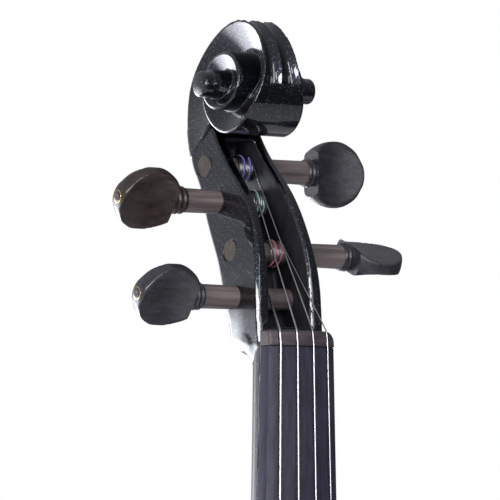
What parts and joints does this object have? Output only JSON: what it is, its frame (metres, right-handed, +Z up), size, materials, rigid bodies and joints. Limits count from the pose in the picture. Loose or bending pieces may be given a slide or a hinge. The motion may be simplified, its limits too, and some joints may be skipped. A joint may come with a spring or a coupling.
{
  "type": "cello",
  "caption": "Full-size cello with gloss black body, carved scroll head, tapered pegs, fine tuners and a sliding endpin; hollow and built from separate pieces.",
  "frame": {"origin": "on the endpin's axis where its spike begins, with the endpin pushed in", "axes": "+Z up along the cello's length, strings face -Y, +X is the treble side"},
  "size_m": [0.4376, 0.262, 1.2537],
  "materials": {
    "black_lacquer": "high gloss black lacquer with a fine bluish metallic fleck",
    "ebony_board": "oiled ebony, satin",
    "peg_wood": "polished dark peg wood, satin, browner on the shaft",
    "gold": "polished gold-coloured ring",
    "pearl": "pearl dot",
    "string_steel": "metal-wound string",
    "string_silk": "silk-wound string end",
    "bridge_maple": "plain maple",
    "bare_wood": "unfinished spruce and willow",
    "black_fittings": "polished ebony fittings",
    "cord_nylon": "black nylon cord",
    "bright_metal": "nickel plate"
  },
  "bodies": {
    "cello_body": {"neck_and_scroll": "black_lacquer", "fingerboard": "ebony_board", "nut": "ebony_board", "bridge": "bridge_maple", "top_plate": "black_lacquer", "back_plate": "black_lacquer", "linings": "bare_wood", "corner_blocks": "bare_wood", "top_block": "bare_wood", "bottom_block": "bare_wood", "bass_bar": "bare_wood", "sound_post": "bare_wood", "saddle": "ebony_board", "tailpiece": "black_fittings", "tailpiece_fret": "ebony_board", "tail_cord": "cord_nylon", "tuner_pins": "bright_metal", "endpin_socket": "black_fittings", "endpin_ferrule": "bright_metal", "lower_rib_treble": "black_lacquer", "lower_rib_bass": "black_lacquer", "middle_rib_treble": "black_lacquer", "middle_rib_bass": "black_lacquer", "upper_rib_treble": "black_lacquer", "upper_rib_bass": "black_lacquer", "string_c": "string_steel", "string_g": "string_steel", "string_d": "string_steel", "string_a": "string_steel"},
    "peg_c_body": {"peg_c": "peg_wood", "peg_c_ring": "gold", "peg_c_dot": "pearl", "peg_c_winding": "string_silk"},
    "peg_g_body": {"peg_g": "peg_wood", "peg_g_ring": "gold", "peg_g_dot": "pearl", "peg_g_winding": "string_silk"},
    "peg_d_body": {"peg_d": "peg_wood", "peg_d_ring": "gold", "peg_d_dot": "pearl", "peg_d_winding": "string_silk"},
    "peg_a_body": {"peg_a": "peg_wood", "peg_a_ring": "gold", "peg_a_dot": "pearl", "peg_a_winding": "string_silk"},
    "tuner_screw_c_body": {"tuner_screw_c": "bright_metal"},
    "tuner_lever_c_body": {"tuner_lever_c": "bright_metal"},
    "tuner_screw_g_body": {"tuner_screw_g": "bright_metal"},
    "tuner_lever_g_body": {"tuner_lever_g": "bright_metal"},
    "tuner_screw_d_body": {"tuner_screw_d": "bright_metal"},
    "tuner_lever_d_body": {"tuner_lever_d": "bright_metal"},
    "tuner_screw_a_body": {"tuner_screw_a": "bright_metal"},
    "tuner_lever_a_body": {"tuner_lever_a": "bright_metal"},
    "endpin_body": {"endpin_rod": "bright_metal", "endpin_spike": "bright_metal"},
    "thumb_screw_body": {"endpin_thumb_screw": "bright_metal"}
  },
  "joints": [
    {"name": "peg_c_turn", "type": "hinge", "parent": "cello_body", "child": "peg_c_body", "pos_m": [0, -0.00866, 1.11089], "axis": [1, 0, 0], "continuous": true},
    {"name": "peg_g_turn", "type": "hinge", "parent": "cello_body", "child": "peg_g_body", "pos_m": [0, 0.01811, 1.15388], "axis": [1, 0, 0], "continuous": true},
    {"name": "peg_d_turn", "type": "hinge", "parent": "cello_body", "child": "peg_d_body", "pos_m": [0, 0.03264, 1.16935], "axis": [1, 0, 0], "continuous": true},
    {"name": "peg_a_turn", "type": "hinge", "parent": "cello_body", "child": "peg_a_body", "pos_m": [0, 0.00024, 1.13199], "axis": [1, 0, 0], "continuous": true},
    {"name": "tuner_c_screw_turn", "type": "hinge", "parent": "cello_body", "child": "tuner_screw_c_body", "pos_m": [-0.02, -0.13181, 0.26485], "axis": [0, 0.961, 0.2766], "range_deg": [0, 1440]},
    {"name": "tuner_g_screw_turn", "type": "hinge", "parent": "cello_body", "child": "tuner_screw_g_body", "pos_m": [-0.0067, -0.13181, 0.26485], "axis": [0, 0.961, 0.2766], "range_deg": [0, 1440]},
    {"name": "tuner_d_screw_turn", "type": "hinge", "parent": "cello_body", "child": "tuner_screw_d_body", "pos_m": [0.0067, -0.13181, 0.26485], "axis": [0, 0.961, 0.2766], "range_deg": [0, 1440]},
    {"name": "tuner_a_screw_turn", "type": "hinge", "parent": "cello_body", "child": "tuner_screw_a_body", "pos_m": [0.02, -0.13181, 0.26485], "axis": [0, 0.961, 0.2766], "range_deg": [0, 1440]},
    {"name": "tuner_c_lever_tilt", "type": "hinge", "parent": "cello_body", "child": "tuner_lever_c_body", "pos_m": [-0.02, -0.14257, 0.28776], "axis": [1, 0, 0], "range_deg": [0, 4.8]},
    {"name": "tuner_g_lever_tilt", "type": "hinge", "parent": "cello_body", "child": "tuner_lever_g_body", "pos_m": [-0.0067, -0.14257, 0.28776], "axis": [1, 0, 0], "range_deg": [0, 4.8]},
    {"name": "tuner_d_lever_tilt", "type": "hinge", "parent": "cello_body", "child": "tuner_lever_d_body", "pos_m": [0.0067, -0.14257, 0.28776], "axis": [1, 0, 0], "range_deg": [0, 4.8]},
    {"name": "tuner_a_lever_tilt", "type": "hinge", "parent": "cello_body", "child": "tuner_lever_a_body", "pos_m": [0.02, -0.14257, 0.28776], "axis": [1, 0, 0], "range_deg": [0, 4.8]},
    {"name": "endpin_slide", "type": "slide", "parent": "cello_body", "child": "endpin_body", "axis": [0, 0, -1], "range_m": [0, 0.3]},
    {"name": "thumb_screw_turn", "type": "hinge", "parent": "cello_body", "child": "thumb_screw_body", "pos_m": [0.02, 0, 0.0435], "axis": [1, 0, 0], "range_deg": [0, 540]}
  ],
  "couplings": [
    {"joint": "tuner_c_lever_tilt", "follows": "tuner_c_screw_turn", "ratio": 0.0033333},
    {"joint": "tuner_g_lever_tilt", "follows": "tuner_g_screw_turn", "ratio": 0.0033333},
    {"joint": "tuner_d_lever_tilt", "follows": "tuner_d_screw_turn", "ratio": 0.0033333},
    {"joint": "tuner_a_lever_tilt", "follows": "tuner_a_screw_turn", "ratio": 0.0033333}
  ]
}
